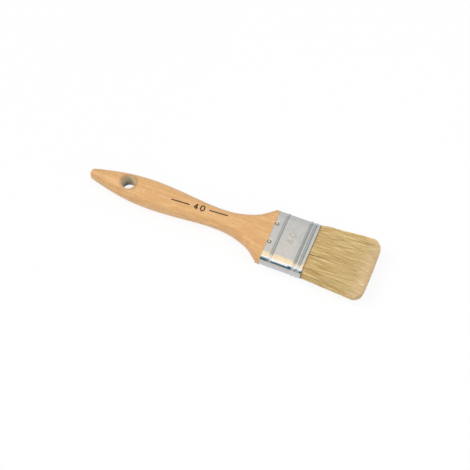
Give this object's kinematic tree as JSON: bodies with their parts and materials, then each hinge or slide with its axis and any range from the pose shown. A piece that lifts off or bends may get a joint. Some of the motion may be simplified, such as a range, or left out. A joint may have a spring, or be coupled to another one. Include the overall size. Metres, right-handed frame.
{
  "type": "flat bristle paint brush",
  "caption": "Flat bristle paint brush with a milled wooden handle, a hang hole and a beaded tinplate ferrule.",
  "frame": {"origin": "middle of the brush's length and width, on the surface it lies on, below its back face", "axes": "+X along the brush from the handle's tip to the bristles' tips, +Z out of the front face, which has the raised number, +Y to the left of someone who holds the handle and looks at the front"},
  "size_m": [0.2008, 0.0457, 0.013],
  "materials": {
    "beech": "satin varnish over beech",
    "tinplate": "bright rolled tinplate",
    "nail_steel": "bright, slightly domed heads",
    "bristle": "natural light hog bristle",
    "plug_wood": "raw softwood",
    "resin": "cured amber resin"
  },
  "bodies": {
    "root": {"handle": "beech", "ferrule": "tinplate", "front_left_nail": "nail_steel", "front_right_nail": "nail_steel", "back_left_nail": "nail_steel", "back_right_nail": "nail_steel", "front_bristles": "bristle", "back_bristles": "bristle", "spacer_plug": "plug_wood", "setting_resin": "resin"}
  },
  "joints": []
}
